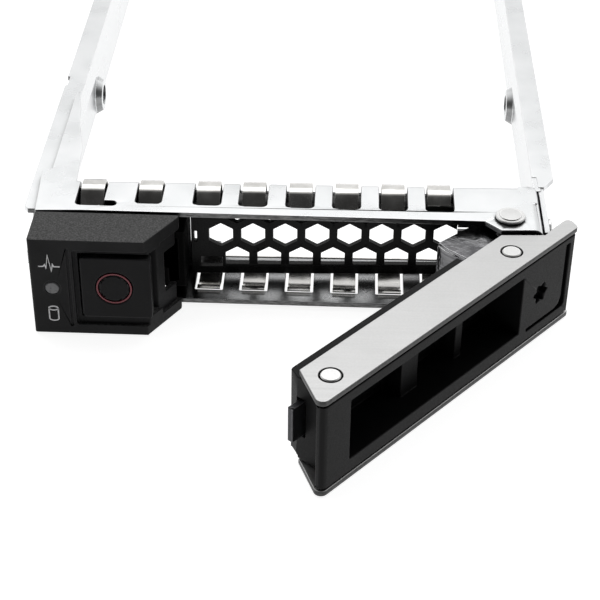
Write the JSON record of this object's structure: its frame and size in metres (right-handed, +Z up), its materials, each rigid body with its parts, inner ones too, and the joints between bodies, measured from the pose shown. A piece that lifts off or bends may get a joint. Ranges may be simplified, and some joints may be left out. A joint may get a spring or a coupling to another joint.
{
  "type": "hot-swap drive carrier",
  "caption": "Empty hot-swap carrier for a 2.5 inch disk drive, with vented sheet-metal front, release button and a sprung ejector handle swung open.",
  "frame": {"origin": "under the middle of the footprint with the handle open, on the surface it stands on", "axes": "+X to the right seen from the front, +Y to the back along the rails, +Z up"},
  "size_m": [0.0794, 0.1798, 0.0167],
  "materials": {
    "zinc_steel": "bright zinc-plated sheet steel",
    "satin_steel": "satin steel",
    "spring_steel": "bright spring steel",
    "black_plastic": "fine-grained black plastic",
    "clear_plastic": "clear light-guide plastic",
    "lens_plastic": "grey translucent plastic",
    "red_plastic": "dark red plastic",
    "black_steel": "black-coated steel"
  },
  "bodies": {
    "carrier": {"bezel_cover": "black_plastic", "button_spring": "spring_steel", "front_bracket": "zinc_steel", "grounding_strip_bottom": "spring_steel", "grounding_strip_top": "spring_steel", "latch_housing": "black_plastic", "latch_pin": "satin_steel", "left_rail": "zinc_steel", "light_pipe": "clear_plastic", "pivot_pin": "satin_steel", "rail_rivet_left_lower": "satin_steel", "rail_rivet_left_upper": "satin_steel", "rail_rivet_right_lower": "satin_steel", "rail_rivet_right_upper": "satin_steel", "right_rail": "zinc_steel", "status_lens": "lens_plastic", "vent_grille": "black_plastic"},
    "handle": {"handle_body": "black_plastic", "handle_top_plate": "satin_steel", "handle_bottom_plate": "satin_steel", "handle_rivet_free_end": "satin_steel", "handle_rivet_hinge_end": "satin_steel", "catch_plate": "black_steel", "hinge_bracket": "spring_steel", "torsion_spring": "spring_steel"},
    "button": {"release_button": "black_plastic", "button_ring": "red_plastic"},
    "latch": {"latch_lever": "black_steel"}
  },
  "joints": [
    {"name": "handle_hinge", "type": "hinge", "parent": "carrier", "child": "handle", "pos_m": [0.03024, -0.04738, 0.0081], "axis": [0, 0, 1], "range_deg": [-50, 0], "stiffness_Nm_per_rad": 0.02, "springref_deg": 17.19},
    {"name": "button_press", "type": "slide", "parent": "carrier", "child": "button", "axis": [0, 1, 0], "range_m": [0, 0.0015], "stiffness_N_per_m": 600, "springref_m": -0.001, "deforming": ["button_spring"]},
    {"name": "latch_swing", "type": "hinge", "parent": "carrier", "child": "latch", "pos_m": [-0.02255, -0.04567, 0.0063], "axis": [0, 0, 1], "range_deg": [-15, 0]}
  ],
  "couplings": [
    {"joint": "latch_swing", "follows": "button_press", "rad_per_m": -166.67}
  ]
}
